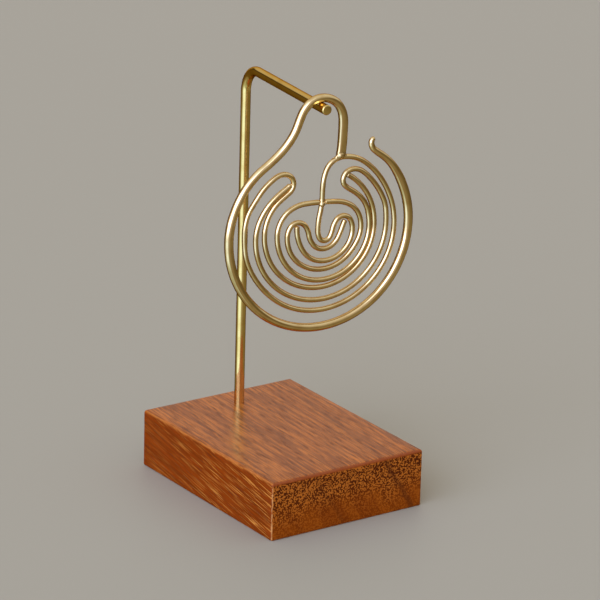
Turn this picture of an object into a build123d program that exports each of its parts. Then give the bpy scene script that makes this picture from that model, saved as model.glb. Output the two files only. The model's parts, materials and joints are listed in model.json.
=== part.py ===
"""Labyrinth ornament on a display stand.

A wire labyrinth of seven circuits hangs by its own hook from a bent brass rod that
stands in a hardwood block. The block stands on z = 0 with its centre over the origin.
Its short sides face -Y (front) and +Y (back), and the rod's arm reaches forwards.
"""
import os
from math import atan2, cos, radians, sin, tan

from build123d import *

# Wooden base, all sizes in millimetres.
block_width = 57.0
block_length = 74.0
block_height = 19.05
block_edge_radius = 1.0

# Bent rod: a post in a blind hole and an arm that runs out level over the block.
rod_diameter = 3.175
post_x = 1.4
post_y = 26.7
hole_depth = 15.0
arm_height = 132.0
arm_length = 53.4
arm_turn = 6.4           # degrees from the block's long side, towards -X
rod_bend_radius = 8.5
rod_end_chamfer = 0.35

# Ornament wires and where the hook rides on the arm.
ring_wire_diameter = 2.8
circuit_wire_diameter = 1.65
hook_from_arm_end = 3.7
ornament_turn = 9.0      # degrees between the ornament's plane and the block's front
crossing_bead_radius = 1.2
hanger_bead_radius = 1.6
tip_bead_radius = 0.95

arm_direction = Vector(-sin(radians(arm_turn)), -cos(radians(arm_turn)), 0)
rod_foot = Vector(post_x, post_y, block_height - hole_depth)
arm_corner = Vector(post_x, post_y, arm_height)
arm_tip = arm_corner + arm_direction * arm_length
hook_seat = arm_tip - arm_direction * hook_from_arm_end

# The ornament lies in one upright plane. Its local x runs to the right as seen from the
# front, its local y runs up, and its origin is the arm's centre line under the hook.
ornament_plane = Plane(
    origin=hook_seat,
    x_dir=(cos(radians(ornament_turn)), -sin(radians(ornament_turn)), 0),
    z_dir=(-sin(radians(ornament_turn)), -cos(radians(ornament_turn)), 0),
)

# Wire routes in the ornament's plane. Each row is x, y and the heading in degrees, and
# every two rows are joined by two arcs that meet tangentially. The labyrinth's circuits
# are counted from the innermost, 1, to the outermost, 8.
hook_ring_route = [
    (18.3, -11.5, -147),     # free end, curled outwards
    (17.3, -13.0, -90),
    (20.8, -17.2, -35),
    (28.5, -27.7, -68),
    (30.9, -39.5, -90),      # right side of the ring
    (0.4, -70.6, 180),       # bottom
    (-30.0, -39.8, 90),      # left side
    (-26.0, -25.4, 60),
    (-18.6, -17.4, 35),      # shoulder
    (-9.1, -7.8, 60),
    (-6.6, -1.9, 67),
    (0.0, 3.05, 0),          # top of the hook, over the arm
    (6.0, -0.2, -56),
    (7.5, -5.7, -90),
    (7.0, -15.5, -97),       # soldered to the top of the stem wire
]
stem_wire_route = [
    (10.1, -22.7, -32),      # inside the upper right loop
    (16.9, -30.1, -62),
    (19.1, -39.2, -90),
    (0.7, -57.7, 180),       # circuit 6
    (-18.1, -39.0, 90),
    (-12.9, -28.2, 37),
    (-8.7, -23.3, 90),       # upper left loop
    (-12.2, -20.0, 180),
    (-17.0, -22.4, -140),
    (-22.7, -29.6, -123),
    (-24.8, -38.0, -90),
    (-23.2, -48.1, -67),
    (0.8, -65.1, 0),         # circuit 8
    (26.0, -40.0, 90),
    (20.6, -24.3, 126),
    (7.9, -16.5, 180),       # under the hook's leg
    (2.2, -20.3, -112),
    (1.1, -28.0, -90),       # stem
    (-0.1, -39.2, -90),
    (2.3, -42.8, 0),         # circuit 1
    (4.9, -39.3, 78),
    (8.4, -35.5, 0),         # inner right loop
    (11.7, -40.0, -90),
    (2.4, -49.3, 180),       # circuit 3
    (-7.2, -37.2, 88),       # inside the inner left loop
]
inner_wire_route = [
    (9.0, -36.9, -112),      # inside the inner right loop
    (6.9, -42.1, -116),
    (2.0, -45.4, 180),       # circuit 2
    (-3.1, -40.3, 100),
    (-7.1, -36.0, 180),      # inner left loop
    (-10.4, -40.4, -90),
    (1.6, -51.9, 0),         # circuit 4
    (11.4, -47.2, 51),
    (14.6, -39.5, 90),
    (10.6, -32.1, 149),
    (2.0, -30.3, 178),       # butts against the stem from the right
]
outer_wire_route = [
    (0.0, -30.2, 178),       # butts against the stem from the left
    (-9.2, -31.5, -151),
    (-13.8, -39.5, -90),
    (1.6, -55.4, 0),         # circuit 5
    (17.4, -39.4, 90),
    (14.4, -30.3, 132),
    (10.5, -27.2, 148),
    (8.0, -24.1, 92),        # upper right loop
    (11.4, -20.8, 0),
    (16.9, -23.9, -47),
    (22.1, -31.7, -67),
    (23.2, -39.0, -90),
    (0.9, -61.7, 180),       # circuit 7
    (-21.0, -40.0, 90),
    (-16.2, -28.7, 46),
    (-10.8, -24.4, 34),      # inside the upper left loop
]
crossing = (1.05, -30.3)
hanger_joint = (6.6, -15.8)
upper_right_tip = (9.4, -22.4)
upper_left_tip = (-10.1, -24.2)


def direction(heading):
    """Unit vector of a heading in degrees."""
    return Vector(cos(radians(heading)), sin(radians(heading)))


def arc_middle(start, end, leaving):
    """Middle of the arc that leaves start in the given direction and reaches end."""
    chord = end - start
    turn = atan2(leaving.X * chord.Y - leaving.Y * chord.X, leaving.dot(chord))
    left = Vector(-chord.Y, chord.X)
    return (start + end) / 2 - left * (tan(turn / 2) / 2)


def meeting_point(start, leaving, end, arriving):
    """Where two equal-reach tangent arcs from start and end meet."""
    span = end - start
    both = leaving + arriving
    spread = 2 * (1 - leaving.dot(arriving))
    if spread < 1e-9:
        reach = span.dot(span) / (4 * span.dot(leaving))
    else:
        along = span.dot(both)
        reach = (-along + (along**2 + spread * span.dot(span)) ** 0.5) / spread
    return (start + end + (leaving - arriving) * reach) / 2


def draw_arc(start, middle, end):
    """Draw an arc through three points of the open BuildLine's plane."""
    ThreePointArc(*[(point.X, point.Y) for point in (start, middle, end)])


def smooth_route(route):
    """Draw a route's tangent arcs in the BuildLine that is open."""
    for (x0, y0, heading0), (x1, y1, heading1) in zip(route, route[1:]):
        start = Vector(x0, y0)
        end = Vector(x1, y1)
        leaving = direction(heading0)
        arriving = direction(heading1)
        middle = meeting_point(start, leaving, end, arriving)
        draw_arc(start, arc_middle(start, middle, leaving), middle)
        draw_arc(middle, arc_middle(end, middle, -arriving), end)


def bent_wire(name, route, diameter):
    """Round wire bent along a route in the ornament's plane."""
    with BuildPart() as wire:
        with BuildLine(ornament_plane) as path:
            smooth_route(route)
        with BuildSketch(Plane(origin=path.line @ 0, z_dir=path.line % 0)):
            Circle(diameter / 2)
        sweep(path=path.line)
    wire.part.label = name
    return wire.part


def solder_bead(centre, radius, wires):
    """Ball of solder round a joint, without the wires that it holds."""
    with BuildPart() as bead:
        with Locations(ornament_plane.from_local_coords((*centre, 0))):
            Sphere(radius)
        for wire in wires:
            add(wire, mode=Mode.SUBTRACT)
    return bead.part


# Base block with a blind hole for the post.
with BuildPart() as base_block:
    Box(block_width, block_length, block_height, align=(Align.CENTER, Align.CENTER, Align.MIN))
    fillet(base_block.edges(), block_edge_radius)
    with Locations((post_x, post_y, block_height)):
        Hole(rod_diameter / 2, depth=hole_depth)
base_block.part.label = "base_block"

# Rod: post, one round bend, arm.
with BuildPart() as stand_rod:
    with BuildLine() as rod_path:
        FilletPolyline(rod_foot, arm_corner, arm_tip, radius=rod_bend_radius)
    with BuildSketch(Plane(origin=rod_foot, z_dir=(0, 0, 1))):
        Circle(rod_diameter / 2)
    sweep(path=rod_path.line)
    tip_edge = stand_rod.edges().filter_by(GeomType.CIRCLE).sort_by_distance(arm_tip)[0]
    chamfer(tip_edge, rod_end_chamfer)
stand_rod.part.label = "stand_rod"

# Ornament: the heavy hook and ring, and the labyrinth's three thin wires.
hook_ring = bent_wire("hook_ring", hook_ring_route, ring_wire_diameter)
stem_wire = bent_wire("stem_wire", stem_wire_route, circuit_wire_diameter)
inner_wire = bent_wire("inner_wire", inner_wire_route, circuit_wire_diameter)
outer_wire = bent_wire("outer_wire", outer_wire_route, circuit_wire_diameter)

# Solder that holds the wires together.
crossing_solder = solder_bead(crossing, crossing_bead_radius, [stem_wire, inner_wire, outer_wire])
crossing_solder.label = "crossing_solder"
hanger_solder = solder_bead(hanger_joint, hanger_bead_radius, [hook_ring, stem_wire])
hanger_solder.label = "hanger_solder"
right_tip_solder = solder_bead(upper_right_tip, tip_bead_radius, [stem_wire, outer_wire])
right_tip_solder.label = "right_tip_solder"
left_tip_solder = solder_bead(upper_left_tip, tip_bead_radius, [stem_wire, outer_wire])
left_tip_solder.label = "left_tip_solder"

os.makedirs("parts", exist_ok=True)
for piece in (
    base_block.part,
    stand_rod.part,
    hook_ring,
    stem_wire,
    inner_wire,
    outer_wire,
    crossing_solder,
    hanger_solder,
    right_tip_solder,
    left_tip_solder,
):
    export_step(piece, f"parts/{piece.label}.step")
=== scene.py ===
import json
from math import atan2, ceil, cos, pi, radians, sin
from types import SimpleNamespace

import bmesh
import bpy
import numpy as np
from mathutils import Matrix, Vector, noise


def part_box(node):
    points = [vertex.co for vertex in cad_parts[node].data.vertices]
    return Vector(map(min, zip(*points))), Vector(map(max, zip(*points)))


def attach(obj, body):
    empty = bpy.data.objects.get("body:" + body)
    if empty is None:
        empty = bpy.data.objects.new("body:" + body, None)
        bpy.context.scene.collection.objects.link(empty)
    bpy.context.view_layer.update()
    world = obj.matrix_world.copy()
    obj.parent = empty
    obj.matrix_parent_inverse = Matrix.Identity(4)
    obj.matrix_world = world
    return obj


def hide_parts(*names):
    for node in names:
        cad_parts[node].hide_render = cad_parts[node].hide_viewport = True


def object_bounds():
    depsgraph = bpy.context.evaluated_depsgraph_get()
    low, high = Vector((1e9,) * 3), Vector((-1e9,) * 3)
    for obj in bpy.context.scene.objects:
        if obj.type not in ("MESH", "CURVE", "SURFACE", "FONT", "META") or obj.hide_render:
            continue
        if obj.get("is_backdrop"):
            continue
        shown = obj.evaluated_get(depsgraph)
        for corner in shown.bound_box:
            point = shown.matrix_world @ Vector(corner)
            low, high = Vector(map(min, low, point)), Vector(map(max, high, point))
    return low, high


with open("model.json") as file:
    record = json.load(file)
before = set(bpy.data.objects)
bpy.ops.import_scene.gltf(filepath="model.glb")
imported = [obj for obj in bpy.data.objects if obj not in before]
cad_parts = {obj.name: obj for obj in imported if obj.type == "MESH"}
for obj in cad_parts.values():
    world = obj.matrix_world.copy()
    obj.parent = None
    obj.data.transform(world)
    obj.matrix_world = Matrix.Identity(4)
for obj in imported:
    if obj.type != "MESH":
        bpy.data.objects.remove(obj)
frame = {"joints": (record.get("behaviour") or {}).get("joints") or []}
CAD_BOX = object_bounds()

MM = 0.001
MATERIAL_MM = 1000.0              # material coordinates are read in millimetres
DEGREES = 180.0 / pi
NEARLY_ZERO = 1e-9
NEARLY_STRAIGHT = 1e-6            # radians
ROUND_SECTION = 2.0               # squareness of a round wire

# The colour sockets of a Mix node, which share their names with its number sockets.
MIX_FIRST_COLOUR = 6
MIX_SECOND_COLOUR = 7
MIX_COLOUR_RESULT = 2

# Where the photographer's camera stands, seen from the middle of the object.
CAMERA_AZIMUTH = -34.903
CAMERA_ELEVATION = 19.449
CAMERA_ROLL = 1.563
CAMERA_DISTANCE = 1.2
CAMERA_AIM_HEIGHT = 0.070
CAMERA_OFFSET = (0.004452, -0.007085)
CAMERA_LENS = 230.11
CAMERA_SENSOR = 36.0
CAMERA_CLIP = (0.05, 100.0)

FLOOR_COLOUR = (0.450, 0.435, 0.375)
FLOOR_ROUGHNESS = 0.55
FLOOR_HALF_SIZE = 20.0

# The studio's light by direction: the centre and half size of each soft-edged rectangle in
# degrees of azimuth (0 is the front, -90 the left) and elevation, its softness, its colour.
FLOOR_GLOW = (0.26, 0.215, 0.12)
CEILING_GLOW = (0.66, 0.65, 0.61)
GLOW_ELEVATIONS = (-10.0, 60.0)
BACKDROP = (0.40, 0.38, 0.345)
LIGHT_LAYERS = (
    ((172.0, 51.0), (62.0, 27.0), 5.0, (0.58, 0.50, 0.38)),      # dimmer ceiling behind
    ((66.0, -5.0), (48.0, 14.0), 10.0, (0.14, 0.11, 0.05)),      # dark side of the studio
    ((62.0, 27.0), (26.0, 12.0), 5.0, (0.58, 0.58, 0.56)),       # fill card on the right
    ((-75.0, 50.0), (70.0, 9.0), 7.0, (0.88, 0.89, 0.94)),       # ceiling above the soft box
    ((-75.0, 50.0), (38.0, 8.0), 7.0, (1.05, 1.15, 1.40)),       # brighter middle of that ceiling
    ((-130.0, 18.0), (16.0, 22.0), 6.0, (0.46, 0.34, 0.26)),     # wall beyond the soft box
    ((50.0, -68.0), (60.0, 22.0), 8.0, (0.18, 0.10, 0.025)),     # shaded near side of the table
    ((-70.0, -34.0), (48.0, 20.0), 9.0, (0.47, 0.55, 0.48)),     # table lit by the soft box
    ((-32.0, 8.0), (30.0, 25.0), 10.0, (0.52, 0.46, 0.45)),      # the soft box's spill to the front
    ((-70.0, -22.0), (29.0, 11.0), 6.0, (1.05, 1.30, 1.60)),     # the soft box seen in the table
    ((-68.0, 17.0), (34.0, 28.0), 5.0, (2.65, 2.9, 3.7)),        # soft box
    ((168.0, -34.0), (52.0, 56.0), 5.0, (0.14, 0.088, 0.020)),   # dark floor behind
    ((170.0, 16.0), (50.0, 5.0), 3.0, (0.07, 0.045, 0.01)),      # shadow at that floor's far edge
    ((140.0, 12.0), (38.0, 20.0), 4.0, (0.66, 0.53, 0.41)),      # warm wall behind
)

# Metals: clean colour, tarnished colour, tint at a glancing angle, roughness where clean.
BRONZE = ((0.92, 0.71, 0.38), (0.80, 0.57, 0.27), (0.30, 0.16, 0.06), 0.06)
BRASS = ((0.94, 0.72, 0.29), (0.84, 0.60, 0.21), (0.40, 0.24, 0.08), 0.07)
# Solder: a duller metal of its own, made darker still as painted shade on its down-turned lumps.
SOLDER = ((0.80, 0.60, 0.31), (0.64, 0.46, 0.23), (0.30, 0.17, 0.07), 0.26)
DRAWN_LINE_SCALE = (0.35, 46.0, 1.0)     # along a millimetre of wire, and round it
DRAWN_LINE_STRENGTH = 0.25
DRAWN_LINE_DEPTH = 0.02 * MM
TARNISH_SCALE = 0.22
TARNISH_LEVELS = (0.42, 0.72)
TARNISH_ROUGHNESS = 0.07
SPECK_SCALE = 3.2
SPECK_LEVELS = (0.55, 0.75)
SPECK_STRENGTH = 0.35

# The wood's fibres climb and drift a little towards the back, and its growth rings slant.
# Where a face turns towards an axis is given by that part of its normal.
FIBRE_SLOPE_X = 0.047
FIBRE_SLOPE_Z = 0.17
FACE_CHANGE = (0.69, 0.73)
END_FACE = (0.80, 0.97)
LONG_FACE = (0.45, 0.85)

# Growth rings on the slanting axis, in millimetres. A ring's row is its place and how far
# from there it stays dark and where it ends.
RING_SLANT = 0.63
RING_WANDER = 3.0
RING_SCALE = (0.22, 0.01)
RING_LEVELS = (0.36, 0.66)
DARK_RING = (31.0, 0.2, 1.9)
FAINT_RING = (4.5, 0.2, 1.6)
FAINT_RING_STRENGTH = 0.5

# Noise in the wood: how many features in a millimetre across the fibres, along them and
# across them again, and the levels between which each pattern comes in.
WANDER_SCALE = (0.10, 0.02, 0.10)
STREAK_SCALE = (1.6, 0.045, 1.6)
STREAK_LEVELS = (0.47, 0.58)
FINE_SCALE = (2.6, 0.08, 2.6)
FINE_LEVELS = (0.44, 0.58)
VESSEL_SCALE = (2.1, 0.15, 2.1)
VESSEL_WIDTH = (0.22, 0.44)
VESSELS_KEPT = (0.3, 0.5)
GLEAM_SCALE = (3.2, 0.095, 3.2)
GLEAM_LEVELS = (0.57, 0.64)
GLEAM_FRONT = (-15.0, 25.0)       # from full strength in front to weak behind
PATCH_SCALE = (0.14, 0.03, 0.14)
PATCH_LEVELS = (0.38, 0.54)
PORE_SCALE = (2.1, 0.10, 2.1)
PORE_LEVELS = (0.455, 0.535)
BETWEEN_PORES_LEVELS = (0.0, 0.35)
# patches that break up the edges' painted highlights
EDGE_PATCH_SCALE = (0.5, 0.12, 0.5)
EDGE_PATCH_LEVELS = (0.36, 0.58)

# Bands of the block in millimetres: where the upright edges' painted highlights and the rims'
# painted light and shade begin and are full, and heights between which the end grain opens and
# takes its painted shade, which wander by so much.
CORNER_X = (27.95, 28.35)
CORNER_Y = (36.45, 36.85)
END_RIM_Y = (36.1, 36.5)
END_RIM_Z = (17.9, 18.3)
LONG_RIM_X = (27.7, 28.2)
LONG_RIM_Z = (18.2, 18.7)
OPEN_PORES_Z = (2.0, 13.0)
OPEN_PORES_WANDER = 16.0
UPPER_END_Z = (7.0, 18.5)
UPPER_END_WANDER = 10.0

# Colours of the wood along its fibres, from the ground up.
EARLY_WOOD = (0.65, 0.185, 0.023)
LATE_WOOD = (0.54, 0.142, 0.016)
# painted shade of the long side faces
LONG_FACE_SHADE = (0.235, 0.024, 0.000)
STREAK_TONE = (0.16, 0.027, 0.002)
FINE_TONE = (0.21, 0.040, 0.005)
RING_TONE = (0.16, 0.034, 0.008)
VESSEL_TONE = (0.11, 0.017, 0.003)
# painted highlight streaks on the long faces
GLEAM_HIGHLIGHT = (0.82, 0.34, 0.06)

# Colours of the end grain with its painted shade and painted highlights, and of the edges' painted
# highlights and shade.
EARLY_END = (0.34, 0.068, 0.001)
LATE_END = (0.26, 0.045, 0.000)
# painted shade of the end faces towards the top
UPPER_END_SHADE = (0.21, 0.045, 0.006)
PORE_TONE = (0.085, 0.014, 0.001)
# painted highlight between the end grain's pores
BETWEEN_PORES_HIGHLIGHT = (0.76, 0.24, 0.03)
END_RING_TONE = (0.10, 0.020, 0.003)
# painted highlight on the upright edges
UPRIGHT_EDGE_HIGHLIGHT = (0.86, 0.46, 0.17)
# painted shade on the end rims
END_RIM_SHADE = (0.30, 0.055, 0.006)
# painted highlight on the long top rims
LONG_RIM_HIGHLIGHT = (0.72, 0.24, 0.04)
PORE_DEPTH = 0.05 * MM
PORE_RELIEF = 0.35
OILED_ROUGHNESS = 0.24
PORE_ROUGHNESS = 0.20             # added to it in the pores and on the end grain
OILED_GLOSS = (0.09, 0.52)        # on upright faces and on the top, which is rubbed more
VESSEL_DULLNESS = 0.4
WOOD_IOR = 1.5

BLOCK_TOP_RADIUS = 1.15 * MM      # rounding of the block's upper, upright and lower edges
BLOCK_SIDE_RADIUS = 0.7 * MM
BLOCK_FOOT_RADIUS = 0.6 * MM
BLOCK_LEAST_RADIUS = 0.06 * MM
BLOCK_STEPS = (28, 36)            # along the front and back, and along the long sides
BLOCK_CORNER_STEPS = 7
BLOCK_FOOT_ROWS = 6
BLOCK_SIDE_ROWS = 11
BLOCK_TOP_ROWS = 8
BLOCK_EDGE_WEAR = 0.07 * MM
BLOCK_SHARP_ANGLE = radians(40.0)
HOLE_DEPTH = 15.0 * MM
HOLE_LIP = 0.2 * MM
HOLE_CLEARANCE = 0.03 * MM
HOLE_LOOPS = (0.12, 0.35, 0.65, 0.88, 1.0)     # from the block's rim to the hole's

ROD_RADIUS = 3.175 / 2 * MM
ROD_BEND_RADIUS = 8.5 * MM
ROD_END_CHAMFER = 0.35 * MM
ROD_FOOT_ROUNDING = 0.2 * MM
ROD_SPACING = 0.4 * MM
ROD_SIDES = 40
POST_STEPS = 200
BEND_STEPS = 60
ARM_STEPS = 120
ARM_PAST_HOOK = 3.7 * MM

ROUTE_STEP = 0.08                 # millimetres between samples of a route
WIRE_SPACING = 0.25 * MM
TUBE_END_STEPS = 7
HAMMER_MARK = 3.0 * MM            # length of one unevenness along a wire
HEAVY_WIRE_SIDES = 32
HEAVY_WIRE_UNEVEN = 0.012
HEAVY_WIRE_ENDS = (0.6, 0.2)      # millimetres of rounding
THIN_WIRE_SIDES = 20
THIN_WIRE_UNEVEN = 0.01
THIN_WIRE_ENDS = (0.2, 0.2)

# Solder: the wires' scale at the joint and how much of it is lost by the end of the reach,
# then the voxels and the smoothing that melt wires and lumps together.
STUB_SCALE = 1.06
STUB_TAPER = 0.16
STUB_ROUNDING = 0.1 * MM
STUB_SIDES = 24
STUB_SAMPLES = 5                  # shorter stubs are left out
LUMP_SUBDIVISIONS = 4
SOLDER_VOXEL = 0.07 * MM
SOLDER_SMOOTHING = 22
SOLDER_SMOOTHING_FACTOR = 0.5

# The ornament's plane: its origin is the arm's centre line under the hook. ARM runs from the
# post to the arm's tip, and FACING from the ornament to the front.
SWING = frame["joints"][0]
SEAT = np.array(SWING["pos_m"])
ARM = np.array(SWING["axis"])
ORNAMENT_TURN = radians(9.0)
RIGHT = np.array([cos(ORNAMENT_TURN), -sin(ORNAMENT_TURN), 0.0])
UP = np.array([0.0, 0.0, 1.0])
FACING = np.cross(RIGHT, UP)

# Wire routes in the ornament's plane, in millimetres: x, y and heading in degrees, joined
# by tangent arcs. The heavy wire's rows go on with its width in the plane, its thickness
# through it, and how square hammering has left its section (2 is round).
HOOK_RING = [
    (18.3, -11.5, -147, 1.4, 1.4, 2.0),  # free end, curled outwards
    (17.3, -13.0, -90, 1.85, 1.8, 2.0),
    (20.8, -17.2, -35, 2.25, 2.0, 2.4),
    (28.5, -27.7, -68, 2.8, 2.3, 2.9),
    (30.9, -39.5, -90, 2.88, 2.5, 2.3),  # right side of the ring
    (0.4, -70.6, 180, 2.7, 2.6, 2.1),    # bottom
    (-29.95, -39.8, 90, 2.9, 2.6, 2.1),  # left side
    (-26.0, -25.4, 60, 2.7, 2.6, 2.0),
    (-18.6, -17.4, 35, 2.5, 2.55, 2.0),  # shoulder
    (-9.1, -7.8, 60, 2.7, 2.6, 2.0),
    (-6.6, -1.9, 67, 2.75, 2.6, 2.0),
    (0.0, 2.93, 0, 2.65, 2.55, 2.1),     # top of the hook, on the arm
    (6.0, -0.2, -56, 2.7, 2.4, 2.6),
    (7.5, -5.7, -90, 2.85, 2.2, 3.3),
    (7.0, -15.5, -97, 2.85, 2.0, 3.6),   # soldered to the top of the stem wire
]
THIN_WIRE = (1.67, 1.67, 2.0)
STEM_WIRE = [
    (9.4, -22.3, -30),     # inside the upper right loop
    (16.9, -30.1, -62),
    (19.1, -39.2, -90),
    (0.7, -57.7, 180),     # circuit 6
    (-18.1, -39.0, 90),
    (-12.9, -28.2, 37),
    (-8.7, -23.3, 90),     # upper left loop
    (-12.2, -20.0, 180),
    (-17.0, -22.4, -140),
    (-22.7, -29.6, -123),
    (-24.8, -38.0, -90),
    (-23.2, -48.1, -67),
    (0.8, -65.1, 0),       # circuit 8
    (26.0, -40.0, 90),
    (20.6, -24.3, 126),
    (7.9, -16.5, 180),     # under the hook's leg
    (2.2, -20.3, -112),
    (1.1, -28.0, -90),     # stem
    (-0.1, -39.2, -90),
    (2.3, -42.8, 0),       # circuit 1
    (4.9, -39.3, 78),
    (8.4, -35.5, 0),       # inner right loop
    (11.7, -40.0, -90),
    (2.4, -49.3, 180),     # circuit 3
    (-7.2, -37.2, 88),     # inside the inner left loop
]
INNER_WIRE = [
    (9.0, -36.9, -112),   # inside the inner right loop
    (6.9, -42.1, -116),
    (2.0, -45.4, 180),    # circuit 2
    (-3.1, -40.3, 100),
    (-7.1, -36.0, 180),   # inner left loop
    (-10.4, -40.4, -90),
    (1.6, -51.9, 0),      # circuit 4
    (11.4, -47.2, 51),
    (14.6, -39.5, 90),
    (10.6, -32.1, 149),
    (2.0, -30.3, 178),    # butts against the stem from the right
]
OUTER_WIRE = [
    (0.0, -30.2, 178),    # butts against the stem from the left
    (-9.2, -31.5, -151),
    (-13.8, -39.5, -90),
    (1.6, -55.4, 0),      # circuit 5
    (17.4, -39.4, 90),
    (14.4, -30.3, 132),
    (10.5, -27.2, 148),
    (8.0, -24.1, 92),     # upper right loop
    (11.4, -20.8, 0),
    (16.9, -23.9, -47),
    (22.1, -31.7, -67),
    (23.2, -39.0, -90),
    (0.9, -61.7, 180),    # circuit 7
    (-21.0, -40.0, 90),
    (-16.2, -28.7, 46),
    (-9.9, -23.8, 34),    # inside the upper left loop
]


def node(tree, kind, inputs=None, **settings):
    """Add a shader node. Inputs are values or the sockets that feed them."""
    made = tree.nodes.new(kind)
    for name, value in settings.items():
        setattr(made, name, value)
    for name, value in (inputs or {}).items():
        if isinstance(value, bpy.types.NodeSocket):
            tree.links.new(value, made.inputs[name])
        else:
            made.inputs[name].default_value = value
    return made


def maths(tree, operation, first, second=0.0, third=0.0, clamp=False):
    """One Math node's result."""
    inputs = {0: first, 1: second, 2: third}
    return node(tree, "ShaderNodeMath", inputs, operation=operation, use_clamp=clamp).outputs[0]


def product(tree, first, *factors):
    """Values multiplied together."""
    for factor in factors:
        first = maths(tree, "MULTIPLY", first, factor)
    return first


def ramp(tree, value, low, high, start=0.0, end=1.0):
    """Value from low to high, mapped smoothly to start and end."""
    inputs = {"Value": value, "From Min": low, "From Max": high, "To Min": start, "To Max": end}
    mapped = node(tree, "ShaderNodeMapRange", inputs, interpolation_type="SMOOTHSTEP")
    return mapped.outputs["Result"]


def near(tree, value, place, inner, outer):
    """One within inner of a place on an axis, falling to nothing at outer."""
    away = maths(tree, "ABSOLUTE", maths(tree, "SUBTRACT", value, place))
    return ramp(tree, away, inner, outer, 1.0, 0.0)


def split(tree, vector):
    """A vector's X, Y and Z."""
    return node(tree, "ShaderNodeSeparateXYZ", {"Vector": vector}).outputs


def join(tree, x, y, z=0.0):
    """A vector from its parts."""
    return node(tree, "ShaderNodeCombineXYZ", {"X": x, "Y": y, "Z": z}).outputs[0]


def colour(shade):
    """A colour with its alpha."""
    return (*shade, 1.0)


def mix(tree, factor, first, second):
    """Two colours mixed."""
    inputs = {"Factor": factor, MIX_FIRST_COLOUR: first, MIX_SECOND_COLOUR: second}
    return node(tree, "ShaderNodeMix", inputs, data_type="RGBA").outputs[MIX_COLOUR_RESULT]


def paint(tree, under, layers):
    """Layers painted in order over a colour: each is a mask, its strength and its colour."""
    for mask, strength, shade in layers:
        under = mix(tree, product(tree, mask, strength), under, colour(shade))
    return under


# ---------------------------------------------------------------- camera, light and floor

def aim_camera():
    """Stand the camera where the photographer's stood."""
    azimuth = radians(CAMERA_AZIMUTH)
    elevation = radians(CAMERA_ELEVATION)
    roll = radians(CAMERA_ROLL)
    back = Vector((sin(azimuth) * cos(elevation), -cos(azimuth) * cos(elevation), sin(elevation)))
    level_right = (-back).cross(Vector((0, 0, 1))).normalized()
    level_up = level_right.cross(-back)
    right = level_right * cos(roll) + level_up * sin(roll)
    up = level_up * cos(roll) - level_right * sin(roll)
    data = bpy.data.cameras.new("photo_camera")
    data.lens = CAMERA_LENS
    data.sensor_width = CAMERA_SENSOR
    data.clip_start, data.clip_end = CAMERA_CLIP
    camera = bpy.data.objects.new("photo_camera", data)
    place = Vector((0, 0, CAMERA_AIM_HEIGHT)) + back * CAMERA_DISTANCE
    place += right * CAMERA_OFFSET[0] + up * CAMERA_OFFSET[1]
    camera.matrix_world = Matrix((
        (right.x, up.x, back.x, place.x),
        (right.y, up.y, back.y, place.y),
        (right.z, up.z, back.z, place.z),
        (0, 0, 0, 1),
    ))
    bpy.context.scene.collection.objects.link(camera)
    bpy.context.scene.camera = camera


def patch_mask(tree, azimuth, elevation, centre, half_size, softness):
    """One inside a soft-edged rectangle of the sky, sizes in degrees."""
    aside = maths(tree, "WRAP", maths(tree, "SUBTRACT", azimuth, centre[0]), 180.0, -180.0)
    across = near(tree, aside, 0.0, half_size[0] - softness, half_size[0] + softness)
    upward = near(tree, elevation, centre[1], half_size[1] - softness, half_size[1] + softness)
    return product(tree, across, upward)


def light_room():
    """A studio with one large soft box to the camera's left, painted in layers of light."""
    world = bpy.data.worlds.new("studio")
    bpy.context.scene.world = world
    world.use_nodes = True
    tree = world.node_tree
    tree.nodes.clear()
    towards = split(tree, node(tree, "ShaderNodeTexCoord").outputs["Generated"])
    azimuth = maths(tree, "ARCTAN2", towards["X"], product(tree, towards["Y"], -1.0))
    azimuth = product(tree, azimuth, DEGREES)
    elevation = product(tree, maths(tree, "ARCSINE", towards["Z"]), DEGREES)
    high = ramp(tree, elevation, *GLOW_ELEVATIONS)
    light = mix(tree, high, colour(FLOOR_GLOW), colour(CEILING_GLOW))
    for centre, half_size, softness, shade in LIGHT_LAYERS:
        mask = patch_mask(tree, azimuth, elevation, centre, half_size, softness)
        light = mix(tree, mask, light, colour(shade))
    lit = node(tree, "ShaderNodeBackground", {"Color": light}).outputs[0]
    plain = node(tree, "ShaderNodeBackground", {"Color": colour(BACKDROP)}).outputs[0]
    seen = node(tree, "ShaderNodeLightPath").outputs["Is Camera Ray"]
    both = node(tree, "ShaderNodeMixShader", {0: seen, 1: lit, 2: plain}).outputs[0]
    node(tree, "ShaderNodeOutputWorld", {"Surface": both})
    bpy.context.scene.view_settings.view_transform = "Standard"


def lay_floor():
    """Plain pale floor under the block. Polished pieces reflect the room's own floor."""
    half = FLOOR_HALF_SIZE
    corners = [(-half, -half, 0), (half, -half, 0), (half, half, 0), (-half, half, 0)]
    mesh = bpy.data.meshes.new("floor")
    mesh.from_pydata(corners, [], [(0, 1, 2, 3)])
    floor = bpy.data.objects.new("floor", mesh)
    bpy.context.scene.collection.objects.link(floor)
    material = bpy.data.materials.new("pale_floor")
    material.use_nodes = True
    shader = material.node_tree.nodes["Principled BSDF"]
    shader.inputs["Base Color"].default_value = colour(FLOOR_COLOUR)
    shader.inputs["Roughness"].default_value = FLOOR_ROUGHNESS
    mesh.materials.append(material)
    floor.visible_glossy = False
    floor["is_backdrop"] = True


# ---------------------------------------------------------------- metals

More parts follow.
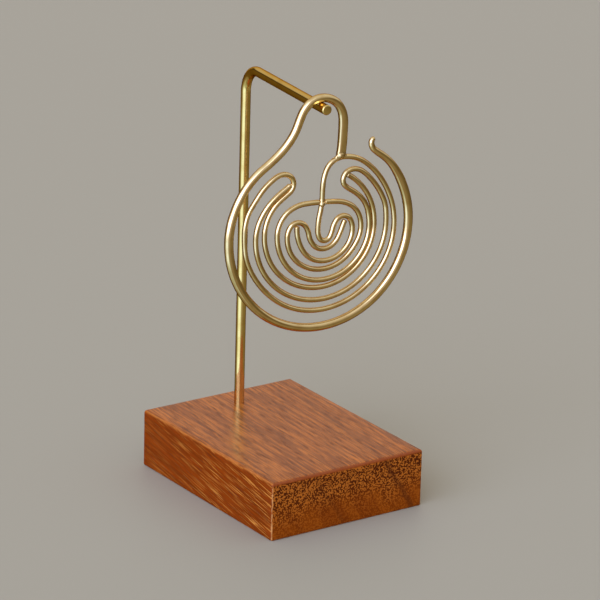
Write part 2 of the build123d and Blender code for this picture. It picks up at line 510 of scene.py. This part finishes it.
def surface(name):
    """A new node material: its tree, its shader and its coordinates in millimetres."""
    material = bpy.data.materials.new(name)
    material.use_nodes = True
    tree = material.node_tree
    shader = tree.nodes["Principled BSDF"]
    place = node(tree, "ShaderNodeTexCoord").outputs["Object"]
    place = node(tree, "ShaderNodeVectorMath", {0: place, "Scale": MATERIAL_MM}, operation="SCALE")
    return material, tree, shader, place.outputs["Vector"]


def feed(tree, shader, **inputs):
    """Set the shader's inputs, named with underscores for spaces."""
    for name, value in inputs.items():
        socket = shader.inputs[name.replace("_", " ")]
        if isinstance(value, bpy.types.NodeSocket):
            tree.links.new(value, socket)
        else:
            socket.default_value = value


def plain_noise(tree, vector, scale, detail):
    """Noise at a place."""
    inputs = {"Vector": vector, "Scale": scale, "Detail": detail}
    return node(tree, "ShaderNodeTexNoise", inputs).outputs["Fac"]


def tarnish(tree, place):
    """How dull handled metal is: clouds of tarnish and small worn specks."""
    clouds = ramp(tree, plain_noise(tree, place, TARNISH_SCALE, 4.0), *TARNISH_LEVELS)
    specks = ramp(tree, plain_noise(tree, place, SPECK_SCALE, 2.0), *SPECK_LEVELS)
    return maths(tree, "ADD", clouds, product(tree, specks, SPECK_STRENGTH), clamp=True)


def metal(name, clean, tarnished, glancing, roughness):
    """Handled yellow metal: drawn lines along it, tarnish, darker at a glancing angle."""
    material, tree, shader, place = surface(name)
    along = node(tree, "ShaderNodeUVMap").outputs["UV"]
    drawn = node(tree, "ShaderNodeMapping", {"Vector": along, "Scale": DRAWN_LINE_SCALE})
    lines = plain_noise(tree, drawn.outputs[0], 1.0, 3.0)
    relief = {"Height": lines, "Strength": DRAWN_LINE_STRENGTH, "Distance": DRAWN_LINE_DEPTH}
    dullness = tarnish(tree, place)
    feed(
        tree, shader, Metallic=1.0,
        Base_Color=mix(tree, dullness, colour(clean), colour(tarnished)),
        Specular_Tint=colour(glancing),
        Roughness=maths(tree, "MULTIPLY_ADD", dullness, TARNISH_ROUGHNESS, roughness),
        Normal=node(tree, "ShaderNodeBump", relief).outputs["Normal"],
    )
    return material


# ---------------------------------------------------------------- wood

def turned(tree, part, levels, start=0.0, end=1.0):
    """From start to end as a face turns to look along an axis, either way."""
    return ramp(tree, maths(tree, "ABSOLUTE", part), *levels, start, end)


def across_fibres(tree, across, along, slope):
    """A coordinate across the sloping fibres."""
    return maths(tree, "SUBTRACT", across, product(tree, along, slope))


def growth_rings(tree, wood):
    """The slanting axis across the growth rings, and its slow wander."""
    sideways = across_fibres(tree, wood.at["X"], wood.at["Y"], FIBRE_SLOPE_X)
    upwards = across_fibres(tree, wood.at["Z"], wood.at["Y"], FIBRE_SLOPE_Z)
    ring = maths(tree, "ADD", sideways, product(tree, upwards, RING_SLANT))
    wander = maths(tree, "SUBTRACT", noise_along(tree, wood.fibre, WANDER_SCALE, 2.0), 0.5)
    return maths(tree, "ADD", ring, product(tree, wander, RING_WANDER)), wander


def ring_tone(tree, wood):
    """From early to late wood, ring by ring."""
    across = product(tree, wood.ring, RING_SCALE[0])
    along = product(tree, wood.at["Y"], RING_SCALE[1])
    inputs = {"Vector": join(tree, across, along), "Scale": 1.0, "Detail": 3.0, "Roughness": 0.6}
    return ramp(tree, node(tree, "ShaderNodeTexNoise", inputs).outputs["Fac"], *RING_LEVELS)


def dark_rings(tree, ring):
    """One dark growth ring and a fainter one."""
    faint = product(tree, near(tree, ring, *FAINT_RING), FAINT_RING_STRENGTH)
    return maths(tree, "MAXIMUM", near(tree, ring, *DARK_RING), faint)


def wood_layout(tree, place):
    """What the wood's layers share: places, faces, fibre coordinates and growth rings.

    Fibres slope in the plane of each long face, so that threads run on along it.
    """
    wood = SimpleNamespace()
    wood.at = split(tree, place)
    wood.facing = split(tree, node(tree, "ShaderNodeTexCoord").outputs["Normal"])
    wood.end_face = turned(tree, wood.facing["Y"], END_FACE)
    wood.long_face = turned(tree, wood.facing["X"], LONG_FACE)
    slope_x = turned(tree, wood.facing["X"], FACE_CHANGE, FIBRE_SLOPE_X, 0.0)
    slope_z = turned(tree, wood.facing["Z"], FACE_CHANGE, FIBRE_SLOPE_Z, 0.0)
    thread_x = across_fibres(tree, wood.at["X"], wood.at["Y"], slope_x)
    thread_z = across_fibres(tree, wood.at["Z"], wood.at["Y"], slope_z)
    wood.fibre = join(tree, thread_x, wood.at["Y"], thread_z)
    wood.ring, wood.wander = growth_rings(tree, wood)
    wood.tone = ring_tone(tree, wood)
    wood.dark_ring = dark_rings(tree, wood.ring)
    return wood


def noise_along(tree, fibre, scale, detail, roughness=0.5, distortion=0.0, offset=(0.0, 0.0, 0.0)):
    """Noise drawn out along the fibres."""
    at = node(tree, "ShaderNodeMapping", {"Vector": fibre, "Scale": scale, "Location": offset})
    inputs = {"Vector": at.outputs[0], "Scale": 1.0, "Detail": detail,
              "Roughness": roughness, "Distortion": distortion}
    return node(tree, "ShaderNodeTexNoise", inputs).outputs["Fac"]


def opened_vessels(tree, fibre):
    """One in the dashes that opened vessels leave along the fibres."""
    at = node(tree, "ShaderNodeMapping", {"Vector": fibre, "Scale": VESSEL_SCALE}).outputs[0]
    cells = node(tree, "ShaderNodeTexVoronoi", {"Vector": at, "Scale": 1.0}).outputs
    kept = ramp(tree, split(tree, cells["Color"])["X"], *VESSELS_KEPT)
    return product(tree, ramp(tree, cells["Distance"], *VESSEL_WIDTH, 1.0, 0.0), kept)


def painted_gleam_streaks(tree, wood):
    """One in the painted highlight streaks of the long faces, in patches and more towards the
    front.
    """
    thin = noise_along(tree, wood.fibre, GLEAM_SCALE, 1.0, offset=(31.0, 2.0, 17.0))
    thin = ramp(tree, thin, *GLEAM_LEVELS)
    forwards = ramp(tree, wood.at["Y"], *GLEAM_FRONT, 1.0, 0.35)
    patches = noise_along(tree, wood.fibre, PATCH_SCALE, 2.0, offset=(5.0, 0.0, 9.0))
    patches = ramp(tree, patches, *PATCH_LEVELS, 0.40)
    return product(tree, thin, wood.long_face, forwards, patches)


def long_grain(tree, wood, vessels):
    """Colour of the faces that the fibres run along."""
    streaks = ramp(tree, noise_along(tree, wood.fibre, STREAK_SCALE, 3.0, 0.74), *STREAK_LEVELS)
    fine = noise_along(tree, wood.fibre, FINE_SCALE, 1.0, 0.6, offset=(7.0, 3.0, 1.0))
    return paint(tree, mix(tree, wood.tone, colour(EARLY_WOOD), colour(LATE_WOOD)), (
        # painted shade: the long side faces darker than the top
        (wood.long_face, 0.84, LONG_FACE_SHADE),
        (streaks, 0.70, STREAK_TONE),
        (ramp(tree, fine, *FINE_LEVELS), 0.62, FINE_TONE),
        (wood.dark_ring, 0.30, RING_TONE),
        (vessels, 0.85, VESSEL_TONE),
        # painted highlight: gleaming streaks on the long faces
        (painted_gleam_streaks(tree, wood), 0.68, GLEAM_HIGHLIGHT),
    ))


def by_height(tree, wood, levels, wander, start, end):
    """A value that changes with height, along a line that wanders."""
    height = maths(tree, "ADD", wood.at["Z"], product(tree, wood.wander, wander))
    return ramp(tree, height, *levels, start, end)


def end_grain(tree, wood):
    """Colour of the end faces, with painted shade towards the top and painted highlights between
    their pores, and one in their pores, which open towards the top.
    """
    worms = noise_along(tree, wood.fibre, PORE_SCALE, 0.0, distortion=0.3, offset=(3.0, 8.0, 2.0))
    worms = ramp(tree, worms, *PORE_LEVELS)
    opened = by_height(tree, wood, OPEN_PORES_Z, OPEN_PORES_WANDER, 0.22, 1.0)
    upper_shade = by_height(tree, wood, UPPER_END_Z, UPPER_END_WANDER, 0.0, 0.50)
    pores = product(tree, worms, opened)
    lit_between_pores = product(tree, ramp(tree, worms, *BETWEEN_PORES_LEVELS, 1.0, 0.0), opened)
    ends = paint(tree, mix(tree, wood.tone, colour(EARLY_END), colour(LATE_END)), (
        # painted shade: the end faces darker towards the top
        (upper_shade, 1.0, UPPER_END_SHADE),
        (pores, 0.92, PORE_TONE),
        # painted highlights between the pores
        (lit_between_pores, 0.52, BETWEEN_PORES_HIGHLIGHT),
        (wood.dark_ring, 0.55, END_RING_TONE),
    ))
    return ends, pores


def edge_light_and_shade(tree, wood, body):
    """The body's colour with painted light on its edges: a painted highlight in patches on the
    upright edges and the long top rims, and painted shade on the end rims.
    """
    along_x = maths(tree, "ABSOLUTE", wood.at["X"])
    along_y = maths(tree, "ABSOLUTE", wood.at["Y"])
    height = wood.at["Z"]
    edge_patches = ramp(tree, noise_along(tree, wood.fibre, EDGE_PATCH_SCALE, 3.0, 0.7), *EDGE_PATCH_LEVELS)
    corner = product(tree, ramp(tree, along_x, *CORNER_X), ramp(tree, along_y, *CORNER_Y))
    end_rim = product(tree, ramp(tree, along_y, *END_RIM_Y), ramp(tree, height, *END_RIM_Z))
    long_rim = product(tree, ramp(tree, along_x, *LONG_RIM_X), ramp(tree, height, *LONG_RIM_Z))
    return paint(tree, body, (
        # painted highlight on the upright edges, in patches
        (product(tree, corner, edge_patches), 0.75, UPRIGHT_EDGE_HIGHLIGHT),
        # painted shade on the end rims, the rounded top edges that reflect less
        (end_rim, 0.85, END_RIM_SHADE),
        # painted highlight on the long top rims, in patches
        (long_rim, ramp(tree, edge_patches, 0.0, 1.0, 0.25, 0.60), LONG_RIM_HIGHLIGHT),
    ))


def hardwood():
    """Reddish hardwood: vessels along its fibres, slanting growth rings, open end grain."""
    material, tree, shader, place = surface("oiled_hardwood")
    wood = wood_layout(tree, place)
    vessels = opened_vessels(tree, wood.fibre)
    ends, pores = end_grain(tree, wood)
    body = mix(tree, wood.end_face, long_grain(tree, wood, vessels), ends)
    pits = maths(tree, "MAXIMUM", vessels, product(tree, pores, wood.end_face))
    rough = maths(tree, "MAXIMUM", pits, wood.end_face)
    relief = {"Height": pits, "Strength": PORE_RELIEF, "Distance": PORE_DEPTH}
    gloss = maths(tree, "SUBTRACT", wood.facing["Z"], product(tree, vessels, VESSEL_DULLNESS))
    feed(
        tree, shader, IOR=WOOD_IOR,
        Base_Color=edge_light_and_shade(tree, wood, body),
        Roughness=maths(tree, "MULTIPLY_ADD", rough, PORE_ROUGHNESS, OILED_ROUGHNESS),
        Specular_IOR_Level=ramp(tree, gloss, 0.0, 1.0, *OILED_GLOSS),
        Normal=node(tree, "ShaderNodeBump", relief, invert=True).outputs["Normal"],
    )
    return material


# ---------------------------------------------------------------- routes

def direction(heading):
    """Unit vector of a heading in degrees."""
    return np.array([cos(radians(heading)), sin(radians(heading))])


def arc_points(start, leaving, end, step):
    """Points and tangents along the arc that leaves start in a direction and reaches end."""
    chord = end - start
    turn = 2 * atan2(leaving[0] * chord[1] - leaving[1] * chord[0], leaving @ chord)
    half = abs(turn) / 2
    length = np.linalg.norm(chord)
    if half > NEARLY_STRAIGHT:
        length *= half / sin(half)
    left = np.array([-leaving[1], leaving[0]])
    for part in np.linspace(0, 1, max(2, ceil(length / step)), endpoint=False):
        angle = turn * part
        if abs(turn) < NEARLY_STRAIGHT:
            yield start + chord * part, leaving
        else:
            radius = length / turn
            point = start + leaving * (radius * sin(angle)) + left * (radius * (1 - cos(angle)))
            yield point, leaving * cos(angle) + left * sin(angle)


def meeting_point(start, leaving, end, arriving):
    """Where two equal-reach tangent arcs from start and end meet, and their reach."""
    span = end - start
    both = leaving + arriving
    spread = 2 * (1 - leaving @ arriving)
    if spread < NEARLY_ZERO:
        reach = span @ span / (4 * span @ leaving)
    else:
        along = span @ both
        reach = (-along + (along**2 + spread * (span @ span)) ** 0.5) / spread
    return (start + end + (leaving - arriving) * reach) / 2, reach


def trace(route, step=ROUTE_STEP):
    """Dense samples of a route: points, tangents and sizes in the plane, in millimetres."""
    points, tangents, sizes = [], [], []
    for (x0, y0, heading0, *size0), (x1, y1, heading1, *size1) in zip(route, route[1:]):
        start, end = np.array([x0, y0]), np.array([x1, y1])
        size0, size1 = np.array(size0 or THIN_WIRE), np.array(size1 or THIN_WIRE)
        leaving, arriving = direction(heading0), direction(heading1)
        middle, reach = meeting_point(start, leaving, end, arriving)
        through = (middle - start - leaving * reach) / reach
        samples = list(arc_points(start, leaving, middle, step))
        samples += list(arc_points(middle, through, end, step))
        for i, (point, tangent) in enumerate(samples):
            share = i / len(samples)
            share = share * share * (3 - 2 * share)
            points.append(point)
            tangents.append(tangent)
            sizes.append(size0 * (1 - share) + size1 * share)
    points.append(end)
    tangents.append(arriving)
    sizes.append(size1)
    return np.array(points), np.array(tangents), np.array(sizes)


# ---------------------------------------------------------------- tubes

def ring_places(total, ends, spacing):
    """How far along a tube each ring of vertices is, and how far in its end draws it."""
    first, last = ends
    turns = np.linspace(pi / 2, 0, TUBE_END_STEPS)[:-1]
    middle = np.linspace(first, total - last, max(2, ceil((total - first - last) / spacing)))
    rings = [(first * (1 - sin(a)), first * (1 - cos(a))) for a in turns]
    rings += [(s, 0.0) for s in middle]
    rings += [(total - last * (1 - sin(a)), last * (1 - cos(a))) for a in turns[::-1]]
    return rings


def section_point(angle, half_width, half_thickness, squareness, along, uneven):
    """A point of a tube's section: x across it and y outwards."""
    x, y = cos(angle), sin(angle)
    reach = (abs(x) ** squareness + abs(y) ** squareness) ** (-1 / squareness)
    x, y = x * reach, y * reach
    grow = 1 + uneven * noise.noise(Vector((along / HAMMER_MARK, x, y)))
    return half_width * x * grow, half_thickness * y * grow


def quads_between(rings, around):
    """Faces that join each ring of vertices to the next."""
    faces = []
    for i in range(rings - 1):
        for j in range(around):
            k = (j + 1) % around
            this, following = i * around, (i + 1) * around
            faces.append((this + j, this + k, following + k, following + j))
    return faces


def unwrap_tube(mesh, rings, sides):
    """UVs in millimetres along a tube, and from 0 to 1 round it."""
    layer = mesh.uv_layers.new(name="UVMap").data
    for polygon in mesh.polygons:
        turns = {mesh.loops[k].vertex_index % sides for k in polygon.loop_indices}
        on_seam = turns >= {0, sides - 1}
        for loop in polygon.loop_indices:
            ring, turn = divmod(mesh.loops[loop].vertex_index, sides)
            along = rings[min(ring, len(rings) - 1)][0]
            layer[loop].uv = (along / MM, 1.0 if on_seam and turn == 0 else turn / sides)


def sweep(name, points, across, outward, sizes, ends, sides, spacing=WIRE_SPACING, uneven=0.0):
    """A closed tube mesh along points with rounded ends.

    across and outward are the section's two axes at each point. A row of sizes holds the
    section's width, its thickness and its squareness. ends are the two rounding radii.
    """
    steps = np.linalg.norm(np.diff(points, axis=0), axis=1)
    lengths = np.concatenate([[0.0], np.cumsum(steps)])
    total = lengths[-1]
    rings = ring_places(total, ends, spacing)

    def at(values, along):
        return np.array([np.interp(along, lengths, column) for column in values.T])

    verts = []
    for along, inset in rings:
        centre, side, out = at(points, along), at(across, along), at(outward, along)
        width, thickness, squareness = at(sizes, along)
        for angle in np.linspace(0, 2 * pi, sides, endpoint=False):
            x, y = section_point(angle, width / 2 - inset, thickness / 2 - inset, squareness,
                                 along, uneven)
            verts.append(centre + side * x + out * y)
    faces = quads_between(len(rings), sides)
    for ring, along, order in ((0, 0.0, -1), (len(rings) - 1, total, 1)):
        pole = len(verts)
        verts.append(at(points, along))
        for j in range(sides):
            pair = (ring * sides + j, ring * sides + (j + 1) % sides)
            faces.append((*pair[::order], pole))
    mesh = bpy.data.meshes.new(name)
    mesh.from_pydata([tuple(vert) for vert in verts], [], faces)
    unwrap_tube(mesh, rings, sides)
    mesh.shade_smooth()
    return mesh


def add_piece(name, mesh, material, body, replaced):
    """Link a mesh as a piece on a body that stands for a CAD node."""
    piece = bpy.data.objects.new(name, mesh)
    mesh.materials.append(material)
    bpy.context.scene.collection.objects.link(piece)
    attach(piece, body)
    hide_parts(replaced)
    return piece


# ---------------------------------------------------------------- ornament

def wire_frame(points, tangents):
    """Points of the ornament's plane put in the frame, with the section's two axes there."""
    normals = np.column_stack([-tangents[:, 1], tangents[:, 0]])
    place = SEAT + (points[:, :1] * RIGHT + points[:, 1:] * UP) * MM
    across = normals[:, :1] * RIGHT + normals[:, 1:] * UP
    return place, across, np.tile(FACING, (len(points), 1))


def metres(sizes):
    """Route sizes with the two lengths in metres."""
    return sizes * [MM, MM, 1.0]


def wire(name, route, material, replaced, ends, sides, uneven):
    """A wire of the ornament, bent along its route."""
    points, tangents, sizes = trace(route)
    mesh = sweep(name, *wire_frame(points, tangents), metres(sizes),
                 tuple(end * MM for end in ends), sides, uneven=uneven)
    return add_piece(name, mesh, material, "ornament", replaced)


def add_stubs(build, name, route, centre, reach):
    """Add the runs of a wire that come within reach of a joint, thinner further away."""
    points, tangents, sizes = trace(route)
    distance = np.hypot(*(points - centre).T)
    within = np.flatnonzero(distance < reach)
    for run in np.split(within, np.flatnonzero(np.diff(within) > 1) + 1):
        if len(run) < STUB_SAMPLES:
            continue
        scale = STUB_SCALE - STUB_TAPER * (distance[run] / reach) ** 2
        scale = np.column_stack([scale, scale, np.ones(len(run))])
        stub = sweep(name, *wire_frame(points[run], tangents[run]), metres(sizes[run]) * scale,
                     (STUB_ROUNDING, STUB_ROUNDING), STUB_SIDES)
        build.from_mesh(stub)
        bpy.data.meshes.remove(stub)


def melt(name, parts):
    """A mesh's overlapping parts fused by a voxel remesh and smoothed into one."""
    rough = bpy.data.objects.new(name + "_parts", parts)
    bpy.context.scene.collection.objects.link(rough)
    fuse = rough.modifiers.new("fuse", "REMESH")
    fuse.mode = "VOXEL"
    fuse.voxel_size = SOLDER_VOXEL
    settle = rough.modifiers.new("settle", "SMOOTH")
    settle.factor = SOLDER_SMOOTHING_FACTOR
    settle.iterations = SOLDER_SMOOTHING
    evaluated = rough.evaluated_get(bpy.context.evaluated_depsgraph_get())
    mesh = bpy.data.meshes.new_from_object(evaluated)
    mesh.name = name
    bpy.data.objects.remove(rough)
    mesh.shade_smooth()
    mesh.materials.clear()
    return mesh


def solder(name, centre, reach, lumps, routes, material, replaced):
    """Solder drawn into the corners between wires: the wires near the joint and some lumps,
    melted together, which leaves a fillet between them."""
    build = bmesh.new()
    for route in routes:
        add_stubs(build, name, route, centre, reach)
    for x, y, z, radius in lumps:
        place = SEAT + (RIGHT * x + UP * y + FACING * z) * MM
        bmesh.ops.create_icosphere(build, subdivisions=LUMP_SUBDIVISIONS, radius=radius * MM,
                                   matrix=Matrix.Translation(place))
    parts = bpy.data.meshes.new(name + "_parts")
    build.to_mesh(parts)
    build.free()
    return add_piece(name, melt(name, parts), material, "ornament", replaced)


# ---------------------------------------------------------------- stand

def block_outline(half_x, half_y, inset, corner):
    """Points round the block's outline and how far each is into a rounded corner."""
    corner = max(corner - inset, BLOCK_LEAST_RADIUS)
    reach_x, reach_y = half_x - inset - corner, half_y - inset - corner
    arcs = []
    for quarter, (side_x, side_y) in enumerate(((1, 1), (-1, 1), (-1, -1), (1, -1))):
        arc = []
        for part in np.linspace(0, 1, BLOCK_CORNER_STEPS):
            angle = (quarter + part) * pi / 2
            x = side_x * reach_x + corner * cos(angle)
            y = side_y * reach_y + corner * sin(angle)
            arc.append((x, y, sin(pi * part)))
        arcs.append(arc)
    points = []
    for k in range(4):
        points += arcs[k]
        start, end = np.array(arcs[k][-1]), np.array(arcs[(k + 1) % 4][0])
        steps = BLOCK_STEPS[k % 2]
        points += [tuple(start + (end - start) * (i / steps)) for i in range(1, steps)]
    return points


def block_rows(low_z, high_z):
    """The block's heights from the foot up, each with its inset and how rounded it is."""
    rows = []
    for angle in np.linspace(pi / 2, 0, BLOCK_FOOT_ROWS):
        height = low_z + BLOCK_FOOT_RADIUS * (1 - sin(angle))
        rows.append((height, BLOCK_FOOT_RADIUS * (1 - cos(angle)), sin(2 * angle)))
    side = (low_z + BLOCK_FOOT_RADIUS, high_z - BLOCK_TOP_RADIUS)
    for height in np.linspace(*side, BLOCK_SIDE_ROWS)[1:]:
        rows.append((height, 0.0, 0.0))
    for angle in np.linspace(0, pi / 2, BLOCK_TOP_ROWS)[1:]:
        height = high_z - BLOCK_TOP_RADIUS * (1 - sin(angle))
        rows.append((height, BLOCK_TOP_RADIUS * (1 - cos(angle)), sin(2 * angle)))
    return rows


def worn_point(point, half_x, half_y, rounding, cornering):
    """A point of the block's edges rubbed inwards by an uneven amount."""
    rubbed = noise.noise(point / (4 * MM)) + 0.5 * noise.noise(point / MM)
    inward = Vector((point.x / half_x, point.y / half_y, 0)).normalized()
    inward += Vector((0, 0, 0.7 * rounding))
    return point - inward * (abs(rubbed) * max(rounding, cornering) * BLOCK_EDGE_WEAR)


def hole_loops(rim, centre):
    """Loops of vertices from the top face's rim to the hole's mouth and down to its end."""
    radius = ROD_RADIUS + HOLE_CLEARANCE
    mouth = [centre + (point - centre).to_2d().normalized().to_3d() * radius for point in rim]
    verts = []
    for share in HOLE_LOOPS:
        verts += [outer.lerp(inner, share) for outer, inner in zip(rim, mouth)]
    for depth in (HOLE_LIP, HOLE_DEPTH):
        verts += [point - Vector((0, 0, depth)) for point in mouth]
    return verts


def block(material):
    """The base: a rounded wooden block, its edges worn unevenly, with a blind hole."""
    low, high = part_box("base_block")
    rows = block_rows(low.z, high.z)
    verts = []
    for z, inset, rounding in rows:
        for x, y, cornering in block_outline(high.x, high.y, inset, BLOCK_SIDE_RADIUS):
            verts.append(worn_point(Vector((x, y, z)), high.x, high.y, rounding, cornering))
    around = len(verts) // len(rows)
    post = rod_corner()
    verts += hole_loops(verts[-around:], Vector((post[0], post[1], high.z)))
    faces = [tuple(range(around))[::-1], tuple(range(len(verts) - around, len(verts)))]
    faces += quads_between(len(verts) // around, around)
    mesh = bpy.data.meshes.new("wooden_block")
    mesh.from_pydata(verts, [], faces)
    mesh.shade_smooth()
    mesh.set_sharp_from_angle(angle=BLOCK_SHARP_ANGLE)
    return add_piece("wooden_block", mesh, material, "stand", "base_block")


def rod_corner():
    """Where the post's and the arm's centre lines would cross if the bend were sharp."""
    tip = SEAT + ARM * ARM_PAST_HOOK
    post_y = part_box("stand_rod")[1].y - ROD_RADIUS
    return tip - ARM * ((post_y - tip[1]) / -ARM[1])


def rod_line():
    """The rod's centre line from its foot to the arm's tip, and the outside of its bend."""
    foot_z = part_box("stand_rod")[0].z
    corner = rod_corner()
    reach = np.linalg.norm(SEAT + ARM * ARM_PAST_HOOK - corner)
    points, outwards = [], []
    for z in np.linspace(foot_z, SEAT[2] - ROD_BEND_RADIUS, POST_STEPS, endpoint=False):
        points.append(np.array([corner[0], corner[1], z]))
        outwards.append(-ARM)
    centre = corner + ARM * ROD_BEND_RADIUS - UP * ROD_BEND_RADIUS
    for angle in np.linspace(0, pi / 2, BEND_STEPS, endpoint=False):
        outward = UP * sin(angle) - ARM * cos(angle)
        points.append(centre + outward * ROD_BEND_RADIUS)
        outwards.append(outward)
    for part in np.linspace(0, 1, ARM_STEPS):
        points.append(corner + ARM * (ROD_BEND_RADIUS + (reach - ROD_BEND_RADIUS) * part))
        outwards.append(UP)
    return np.array(points), np.array(outwards)


def rod(material):
    """The stand's rod: up from its hole, round one bend and out along the arm."""
    points, outwards = rod_line()
    sideways = np.tile(np.cross(UP, ARM), (len(points), 1))
    sizes = np.tile([2 * ROD_RADIUS, 2 * ROD_RADIUS, ROUND_SECTION], (len(points), 1))
    mesh = sweep("bent_rod", points, outwards, sideways, sizes,
                 (ROD_FOOT_ROUNDING, ROD_END_CHAMFER), ROD_SIDES, spacing=ROD_SPACING)
    return add_piece("bent_rod", mesh, material, "stand", "stand_rod")


# ---------------------------------------------------------------- the scene

aim_camera()
light_room()
lay_floor()

bronze = metal("ornament_bronze", *BRONZE)
brass = metal("rod_brass", *BRASS)
melted = metal("solder", *SOLDER)
oiled_wood = hardwood()

wire("hook_and_ring", HOOK_RING, bronze, "hook_ring", HEAVY_WIRE_ENDS, HEAVY_WIRE_SIDES,
     HEAVY_WIRE_UNEVEN)
for piece_name, piece_route, replaced_node in (
    ("stem_and_circuits_1_3_6_8", STEM_WIRE, "stem_wire"),
    ("circuits_2_and_4", INNER_WIRE, "inner_wire"),
    ("circuits_5_and_7", OUTER_WIRE, "outer_wire"),
):
    wire(piece_name, piece_route, bronze, replaced_node, THIN_WIRE_ENDS, THIN_WIRE_SIDES,
         THIN_WIRE_UNEVEN)

# Each solder joint: its centre and reach in the ornament's plane, then its lumps, each with
# its x, y, distance in front of the plane and radius, all in millimetres.
solder("solder_at_crossing", (1.05, -30.3), 1.8, [(1.0, -30.8, 0.2, 1.0)],
       [STEM_WIRE, INNER_WIRE, OUTER_WIRE], melted, "crossing_solder")
solder("solder_at_hanger", (6.6, -15.8), 2.3,
       [(6.8, -15.8, 0.0, 1.35), (5.6, -16.3, 0.2, 0.6), (8.2, -16.2, 0.0, 0.85)],
       [HOOK_RING, STEM_WIRE], melted, "hanger_solder")
solder("solder_at_right_tip", (9.2, -22.1), 1.5, [(9.2, -22.2, -0.2, 0.5)],
       [STEM_WIRE, OUTER_WIRE], melted, "right_tip_solder")
solder("solder_at_left_tip", (-9.8, -23.7), 1.5, [(-9.7, -23.7, -0.2, 0.5)],
       [STEM_WIRE, OUTER_WIRE], melted, "left_tip_solder")
rod(brass)
block(oiled_wood)

boxes = [[list(corner) for corner in box] for box in (CAD_BOX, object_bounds())]
